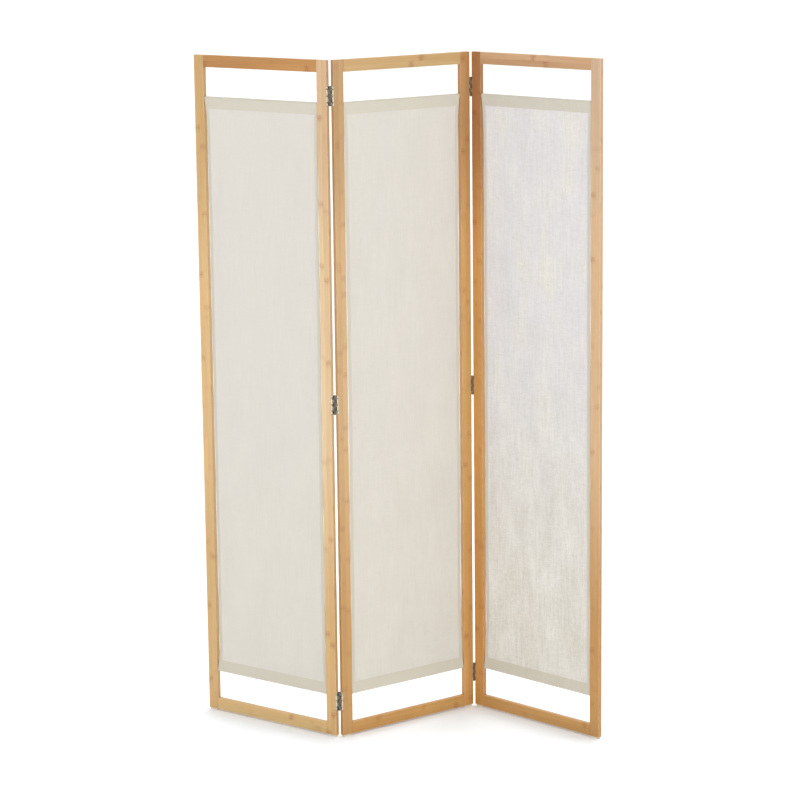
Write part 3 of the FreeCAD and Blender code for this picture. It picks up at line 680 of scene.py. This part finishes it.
def hang_sheet(flat, held, rows, columns):
    """A cloth object that was cut to the flat points and now stands at the held ones.

    Its first and last row are sewn in place.
    """
    mesh = bpy.data.meshes.new("hanging_sheet")
    mesh.from_pydata(flat.tolist(), [], grid_faces(rows, columns, 0, False))
    sheet = bpy.data.objects.new("hanging_sheet", mesh)
    bpy.context.scene.collection.objects.link(sheet)
    cut = sheet.shape_key_add(name="cut")
    start = sheet.shape_key_add(name="held")
    start.data.foreach_set("co", held.ravel())
    start.value = 1.0
    sewn = sheet.vertex_groups.new(name="sewn")
    first_of_last = (rows - 1) * columns
    sewn.add([*range(columns), *range(first_of_last, rows * columns)], 1.0, "REPLACE")
    modifier = sheet.modifiers.new("hang", "CLOTH")
    for name, value in SIM_SETTINGS.items():
        setattr(modifier.settings, name, value)
    modifier.settings.vertex_group_mass = "sewn"
    modifier.settings.rest_shape_key = cut
    modifier.point_cache.frame_end = SIM_FRAMES
    return sheet


def simulate_folds(width, height, seed):
    """Hangs a sheet between two edges that hold it slightly narrower than it was cut.

    Returns the heights, places across and depths of the folds that come.
    """
    columns = round(width / SIM_STEP) + 1
    rows = round(height / SIM_STEP) + 1
    across = np.linspace(-width / 2, width / 2, columns)
    along = np.linspace(0, height, rows)
    grid_x, grid_z = np.meshgrid(across, along)
    flat = np.stack([grid_x, np.zeros_like(grid_x), grid_z], axis=-1).reshape(-1, 3)
    rng = np.random.default_rng(seed)
    held = flat.copy()
    held[:, 0] *= 1 - SQUEEZE
    bent_across = flat[:, 0] + 0.02 * np.sin(4 * flat[:, 2] + seed)
    held[:, 1] = START_DEPTH * smooth_waves(bent_across, rng, START_WAVES)
    sheet = hang_sheet(flat, held, rows, columns)
    for step in range(1, SIM_FRAMES + 1):
        bpy.context.scene.frame_set(step)
    shown = sheet.evaluated_get(bpy.context.evaluated_depsgraph_get())
    places = np.empty(rows * columns * 3, np.float32)
    shown.data.vertices.foreach_get("co", places)
    mesh = sheet.data
    bpy.data.objects.remove(sheet)
    bpy.data.meshes.remove(mesh)
    bpy.context.scene.frame_set(1)
    depth = places.reshape(rows, columns, 3)[:, :, 1].astype(float)
    return along, across, FOLD_LIMIT * np.tanh(depth / FOLD_LIMIT)


def sample_grid(rows, columns, values, at_rows, at_columns):
    """Values of a grid between its points."""
    r = np.clip(np.interp(at_rows, rows, np.arange(len(rows))), 0, len(rows) - 1.001)
    c = np.clip(np.interp(at_columns, columns, np.arange(len(columns))), 0, len(columns) - 1.001)
    r0, c0 = r.astype(int), c.astype(int)
    rf, cf = r - r0, c - c0
    low = values[r0, c0] * (1 - cf) + values[r0, c0 + 1] * cf
    high = values[r0 + 1, c0] * (1 - cf) + values[r0 + 1, c0 + 1] * cf
    return low * (1 - rf) + high * rf


def sleeve_profile(rod_height, rod_radius, seam_height):
    """The sheet's line round a rod, from the turned edge behind the seam to the seam in front.

    Its rows hold depth, height and share, where share goes from 0 at the rod to 1 at the seam.
    """
    radius = rod_radius + ROD_EASE + CLOTH_THICKNESS / 2
    side = math.copysign(1, rod_height - seam_height)
    reach = abs(rod_height - seam_height)
    start = math.asin(radius / reach)
    touch = np.array([radius * math.cos(start), reach - radius * math.sin(start)])
    sewn = np.array([SEAM_GAP / 2, 0.0])
    length = np.linalg.norm(touch - sewn)
    stitch = SEAM_STITCH_INSET / length
    shares = np.linspace(0, 1, round(length / SLEEVE_STEP) + 1)[2:]
    shares = np.concatenate([[0, 0.1 * MM / length, EDGE_ROUND / length, 1.4 * MM / length, stitch], shares])
    rise = [(*(sewn + share * (touch - sewn)), 1 - share) for share in shares]
    angles = np.linspace(-start, math.pi + start, ARC_STEPS + 1)[1:-1]
    arc = [(radius * math.cos(a), reach + radius * math.sin(a), 0.0) for a in angles]
    fall = [(-depth, height, share) for depth, height, share in reversed(rise)]
    rows = np.array(rise + arc + fall)
    rows[:, 1] = seam_height + side * rows[:, 1]
    return rows


def sheet_rows(top, bottom):
    """Rows of the whole sheet from the turned edge of the upper sleeve to that of the lower one.

    They hold depth, height and sleeve share. The second result says which rows are on the single sheet.
    top and bottom are the sleeves' profiles.
    """
    high, low = top[-1, 1], bottom[-1, 1]
    inner_high, inner_low = high - SEAM_ROWS[-1], low + SEAM_ROWS[-1]
    steps = round((inner_high - inner_low) / ROW_STEP)
    heights = [high - gap for gap in SEAM_ROWS[:-1]]
    heights += list(np.linspace(inner_high, inner_low, steps + 1))
    heights += [low + gap for gap in reversed(SEAM_ROWS[:-1])]
    heights = np.array(heights)
    from_seam = np.minimum(high - heights, heights - low)
    depths = -SEAM_GAP / 2 * (1 - smooth_step(0, SEAM_FADE, from_seam))
    plain = np.stack([depths, heights, np.ones_like(heights)], axis=-1)
    rows = np.concatenate([top, plain, bottom[::-1]])
    single = np.concatenate([np.zeros(len(top)), np.ones(len(plain)), np.zeros(len(bottom))])
    return rows, single


def place_columns(half_widths, half_width):
    """Places across for every row: the hems keep their width, and the middle takes what is left."""
    gaps = np.array(EDGE_COLUMNS)
    inner = half_widths - gaps[-1]
    count = round(2 * (half_width - gaps[-1]) / COLUMN_STEP)
    shares = np.linspace(-1, 1, count + 1)[1:-1]
    left = -half_widths[:, None] + gaps[None, :]
    middle = inner[:, None] * shares[None, :]
    return np.concatenate([left, middle, -left[:, ::-1]], axis=1)


def edge_profile(distance):
    """Thickness share near a rounded edge, 0 at the edge and 1 past its round."""
    share = np.clip(distance / EDGE_ROUND, 0, 1)
    return np.sqrt(np.clip(1 - (1 - share) ** 2, 0, 1))


def groove(distance, middle):
    """The dip that a row of stitches pulls, 1 deep at the row."""
    return np.exp(-(((distance - middle) / STITCH_GROOVE) ** 2))


def grid_normals(points):
    """Unit normals of a grid of points, on the side that faces the front."""
    down = np.gradient(points, axis=0)
    right = np.gradient(points, axis=1)
    normals = np.cross(down, right)
    return normals / np.linalg.norm(normals, axis=-1, keepdims=True)


def fold_depths(panel, x, z, low, high, seed):
    """How far the sheet stands behind its flat place: hanging folds, seam puckers and packing creases."""
    rng = np.random.default_rng(seed)
    rows, columns, folds = simulate_folds(x.max() - x.min(), high - low, seed)
    depth = sample_grid(rows, columns, folds, np.clip(z - low, 0, high - low), x)
    from_seam = np.clip(np.minimum(high - z, z - low), 0, None)
    near = np.exp(-from_seam / PUCKER_REACH)
    depth = depth + PUCKER * near * smooth_waves(x, rng, PUCKER_WAVES)
    drift = CREASE_DRIFT * smooth_waves(x, rng, (0.31, 0.47))
    for share in CREASE_SHARES[panel]:
        line = z - (low + share * (high - low)) + drift
        depth = depth + CREASE_DEPTH * np.exp(-np.abs(line) / CREASE_WIDTH) * rng.choice((-1, 1))
    slow = smooth_waves(x, rng, (0.23, 0.35)) * smooth_waves(z, rng, (0.9, 1.4))
    return depth + WARP_DEPTH * slow * smooth_step(0, 0.2, from_seam)


def build_sheet(panel, seed):
    """The sewn sheet in its panel's own frame.

    Returns its rows, where it is folded double, the grids of its outer and inner points, and the outer
    side's normals.
    """
    low, high = local_box(panel, f"{panel}_panel_cloth")
    profiles = []
    for rod, seam in (("upper", high[2] - SLEEVE_HEIGHT), ("lower", low[2] + SLEEVE_HEIGHT)):
        rod_low, rod_high = local_box(panel, f"{panel}_panel_{rod}_rod")
        centre = (rod_low[2] + rod_high[2]) / 2
        profiles.append(sleeve_profile(centre, (rod_high[2] - rod_low[2]) / 2, seam))
    rows, single = sheet_rows(*profiles)
    seam_high, seam_low = profiles[0][-1, 1], profiles[1][-1, 1]

    rng = np.random.default_rng(seed + 50)
    half = (high[0] - low[0]) / 2 - SLEEVE_END_EASE
    inside = np.clip(np.minimum(seam_high - rows[:, 1], rows[:, 1] - seam_low), 0, None)
    neck = NECK_IN * (1 - np.exp(-inside / NECK_LENGTH))
    wander = EDGE_WANDER * smooth_waves(rows[:, 1], rng, (0.11, 0.19, 0.43)) * smooth_step(0, 0.05, inside)
    x = place_columns(half - neck + wander, half)
    z = np.repeat(rows[:, 1:2], x.shape[1], axis=1)
    depth = fold_depths(panel, x, z, seam_low, seam_high, seed)
    y = rows[:, 0:1] + depth * rows[:, 2:3] ** 2
    points = np.stack([x, y, z], axis=-1)

    edge = np.minimum(x - x[:, :1], x[:, -1:] - x)
    run = np.concatenate([[0], np.cumsum(np.linalg.norm(np.diff(rows[:, :2], axis=0), axis=1))])
    end = np.minimum(run, run[-1] - run)[:, None]
    hem = 1 - smooth_step(HEM_WIDTH - 0.2 * MM, HEM_WIDTH + 0.5 * MM, edge)
    on_single = smooth_step(1 * MM, 4 * MM, inside)[:, None] * single[:, None]
    rounded = np.minimum(edge_profile(edge), edge_profile(end))
    seam_row = groove(np.abs(rows[:, 1] - seam_high) * (rows[:, 1] > seam_high), SEAM_STITCH_INSET)
    seam_row += groove(np.abs(rows[:, 1] - seam_low) * (rows[:, 1] < seam_low), SEAM_STITCH_INSET)
    dip = STITCH_DIP * np.maximum(groove(edge, HEM_STITCH_INSET), seam_row[:, None])
    front = (CLOTH_THICKNESS / 2 + HEM_FRONT_RISE * hem - dip) * rounded
    back = (CLOTH_THICKNESS / 2 + (HEM_BACK_RISE * hem - dip) * on_single) * rounded
    normals = grid_normals(points)
    layers = np.maximum(hem, 1 - single[:, None])
    rows = np.column_stack([rows, single])
    return rows, layers, points + normals * front[..., None], points - normals * back[..., None], normals


def place_piece(name, panel, vertices, faces, material, shares=None):
    """Makes a mesh object whose own frame is its panel's, and rides it on the panel.

    shares gives named values to the vertices.
    """
    mesh = bpy.data.meshes.new(name)
    mesh.from_pydata(vertices.tolist(), [], faces)
    for share, values in (shares or {}).items():
        mesh.attributes.new(share, "FLOAT", "POINT").data.foreach_set("value", values)
    shape = bmesh.new()
    shape.from_mesh(mesh)
    bmesh.ops.remove_doubles(shape, verts=shape.verts, dist=WELD_DISTANCE)
    bmesh.ops.recalc_face_normals(shape, faces=shape.faces)
    for face in shape.faces:
        face.smooth = True
    shape.to_mesh(mesh)
    shape.free()
    mesh.materials.append(material)
    piece = bpy.data.objects.new(name, mesh)
    bpy.context.scene.collection.objects.link(piece)
    piece.matrix_world = panel_frame(panel)
    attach(piece, f"{panel}_panel")
    return piece


def spaced_points(path, normals):
    """Points along a path at the stitches' pitch, with the path's direction and the normal there."""
    steps = np.linalg.norm(np.diff(path, axis=0), axis=1)
    run = np.concatenate([[0], np.cumsum(steps)])
    count = int(run[-1] / STITCH_PITCH)
    at = (np.arange(count) + 0.5) * run[-1] / count
    centres = np.stack([np.interp(at, run, path[:, k]) for k in range(3)], axis=-1)
    up = np.stack([np.interp(at, run, normals[:, k]) for k in range(3)], axis=-1)
    ahead = np.stack([np.interp(at + 0.5 * MM, run, path[:, k]) for k in range(3)], axis=-1)
    behind = np.stack([np.interp(at - 0.5 * MM, run, path[:, k]) for k in range(3)], axis=-1)
    direction = ahead - behind
    direction /= np.linalg.norm(direction, axis=-1, keepdims=True)
    up /= np.linalg.norm(up, axis=-1, keepdims=True)
    return centres, direction, up


def stitch_shape():
    """One stitch in shares of its length, width and height: a short thread that dips in at both ends."""
    vertices = [(-0.5, 0.0, STITCH_END_DIP)]
    for at, width, lift in STITCH_RINGS:
        for side in range(THREAD_SIDES):
            turn = 2 * math.pi * (side + 0.5) / THREAD_SIDES
            vertices.append((at, width * math.cos(turn), lift + width * math.sin(turn)))
    vertices.append((0.5, 0.0, STITCH_END_DIP))
    last = len(vertices) - 1
    faces = []
    for side in range(THREAD_SIDES):
        after = (side + 1) % THREAD_SIDES
        faces.append((0, 1 + after, 1 + side))
        for ring in range(len(STITCH_RINGS) - 1):
            first = 1 + ring * THREAD_SIDES
            second = first + THREAD_SIDES
            faces.append((first + side, first + after, second + after, second + side))
        faces.append((last, last - THREAD_SIDES + side, last - THREAD_SIDES + after))
    return np.array(vertices), faces


def stitch_paths(rows, front, back, normals):
    """Where the stitches run: both sides of the two seams, and both sides of the two side hems."""
    sleeve = int(np.argmax(rows[:, 3]))
    single = np.flatnonzero(rows[:, 3])
    last = len(rows) - 1
    seam_rows = (STITCH_ROW, sleeve - 1 - STITCH_ROW, last + 1 - sleeve + STITCH_ROW, last - STITCH_ROW)
    inside = slice(3, -3)
    paths = [(front[row, inside], normals[row, inside]) for row in seam_rows]
    for column in (HEM_STITCH_COLUMN, front.shape[1] - 1 - HEM_STITCH_COLUMN):
        paths.append((front[inside, column], normals[inside, column]))
        paths.append((back[single, column], -normals[single, column]))
    return paths


def stitches(paths):
    """Vertices and faces of every stitch along the paths."""
    shape, shape_faces = stitch_shape()
    vertices, faces = [], []
    for path, normals in paths:
        centres, direction, up = spaced_points(path, normals)
        side = np.cross(direction, up)
        axes = (direction * STITCH_LENGTH, side * THREAD_RADIUS, up * THREAD_RADIUS)
        placed = centres[:, None, :] + sum(shape[None, :, k, None] * axes[k][:, None, :] for k in range(3))
        for stitch in placed:
            first = len(vertices) * len(shape)
            faces += [tuple(first + corner for corner in face) for face in shape_faces]
            vertices.append(stitch)
    return np.concatenate(vertices), faces


def make_cloth(panel, seed, fabric, thread_material):
    """One panel's sheet and its stitching, which stand for the panel's plain cloth."""
    rows, layers, front, back, normals = build_sheet(panel, seed)
    count, across = front.shape[:2]
    vertices = np.concatenate([front.reshape(-1, 3), back.reshape(-1, 3)])
    faces = grid_faces(count, across, 0, False) + grid_faces(count, across, count * across, True)
    folded = {LAYERS: np.concatenate([layers.ravel(), layers.ravel()])}
    sheet = place_piece(f"{panel}_panel_cloth_sheet", panel, vertices, faces, fabric, folded)
    points, corners = stitches(stitch_paths(rows, front, back, normals))
    stitching = place_piece(f"{panel}_panel_cloth_stitching", panel, points, corners, thread_material)
    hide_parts(f"{panel}_panel_cloth")


# ---------------------------------------------------------------- studio

def make_floor():
    """A plain pale floor at the height of the screen's feet."""
    height = cad_box[0].z
    corners = [(-1, -1), (1, -1), (1, 1), (-1, 1)]
    mesh = bpy.data.meshes.new("floor")
    mesh.from_pydata([(x * FLOOR_REACH, y * FLOOR_REACH, height) for x, y in corners], [], [(0, 1, 2, 3)])
    floor = bpy.data.objects.new("floor", mesh)
    bpy.context.scene.collection.objects.link(floor)
    t = Tree("pale_floor")
    tint = t.noise(t.scaled(t.places(), 3, 3, 3), 2.0, 0.5, 1.0)
    mesh.materials.append(t.finish(t.surface(
        base_color=t.mix(tint, FLOOR_DARK, FLOOR_LIGHT),
        roughness=0.75,
        specular_ior_level=0.2,
    )))


def make_light(name, place, aim, size, watts):
    light = bpy.data.lights.new(name, "AREA")
    light.shape = "DISK"
    light.size = size
    light.energy = watts
    holder = bpy.data.objects.new(name, light)
    holder.location = place
    holder.rotation_euler = (Vector(aim) - Vector(place)).to_track_quat("-Z", "Y").to_euler()
    bpy.context.scene.collection.objects.link(holder)


def make_overhead():
    """A wide soft light from far above, so that the floor is lit evenly."""
    light = bpy.data.lights.new("overhead", "SUN")
    light.energy = OVERHEAD_STRENGTH
    light.angle = OVERHEAD_SPREAD
    holder = bpy.data.objects.new("overhead", light)
    holder.rotation_euler = Vector(OVERHEAD_TOWARDS).to_track_quat("Z", "Y").to_euler()
    bpy.context.scene.collection.objects.link(holder)


def make_studio():
    """A white surround, a little dimmer overhead than at the horizon, and three soft lights."""
    world = bpy.data.worlds.new("soft_studio")
    bpy.context.scene.world = world
    world.use_nodes = True
    nodes, links = world.node_tree.nodes, world.node_tree.links
    background = nodes["Background"]
    direction = nodes.new("ShaderNodeTexCoord")
    height = nodes.new("ShaderNodeSeparateXYZ")
    links.new(direction.outputs["Generated"], height.inputs[0])
    dome = nodes.new("ShaderNodeMapRange")
    dome.interpolation_type = "SMOOTHSTEP"
    for socket, value in zip(dome.inputs, (0.0, *WORLD_FADE, WORLD_AT_HORIZON, WORLD_OVERHEAD)):
        socket.default_value = value
    links.new(height.outputs[2], dome.inputs[0])
    links.new(dome.outputs[0], background.inputs["Strength"])
    background.inputs["Color"].default_value = (1.0, 1.0, 1.0, 1.0)
    make_overhead()
    make_light("front_fill", (1.2, -5.0, 2.6), (0.0, 0.0, 0.9), 2.2, 60)
    make_light("behind", (1.6, 3.4, 2.2), (0.25, 0.0, 0.9), 2.0, 40)
    settings = bpy.context.scene.view_settings
    settings.view_transform = "Standard"
    settings.look = "None"


def make_camera():
    camera = bpy.data.cameras.new("camera")
    camera.lens = CAMERA_LENS
    camera.sensor_width = 36.0
    camera.shift_y = CAMERA_SHIFT
    camera.clip_end = 200.0
    holder = bpy.data.objects.new("camera", camera)
    turn = Matrix.Rotation(CAMERA_YAW, 4, "Z") @ Matrix.Rotation(math.pi / 2 - CAMERA_PITCH, 4, "X")
    turn = turn @ Matrix.Rotation(-CAMERA_ROLL, 4, "Z")
    holder.matrix_world = Matrix.Translation(CAMERA_PLACE) @ turn
    bpy.context.scene.collection.objects.link(holder)
    bpy.context.scene.camera = holder


make_camera()
make_floor()
make_studio()
finish_boards()
finish_small_pieces()
thread_material = thread("sewing_thread", 1.0)
for number, panel_name in enumerate(PANELS):
    looks = (CLOTH_MOTTLE[panel_name], CLOTH_CLARITY[panel_name], CLOTH_COOLING[panel_name])
    fabric = cloth(f"cloth_{panel_name}", 1.0 + 9 * number, *looks)
    make_cloth(panel_name, 11 + number, fabric, thread_material)
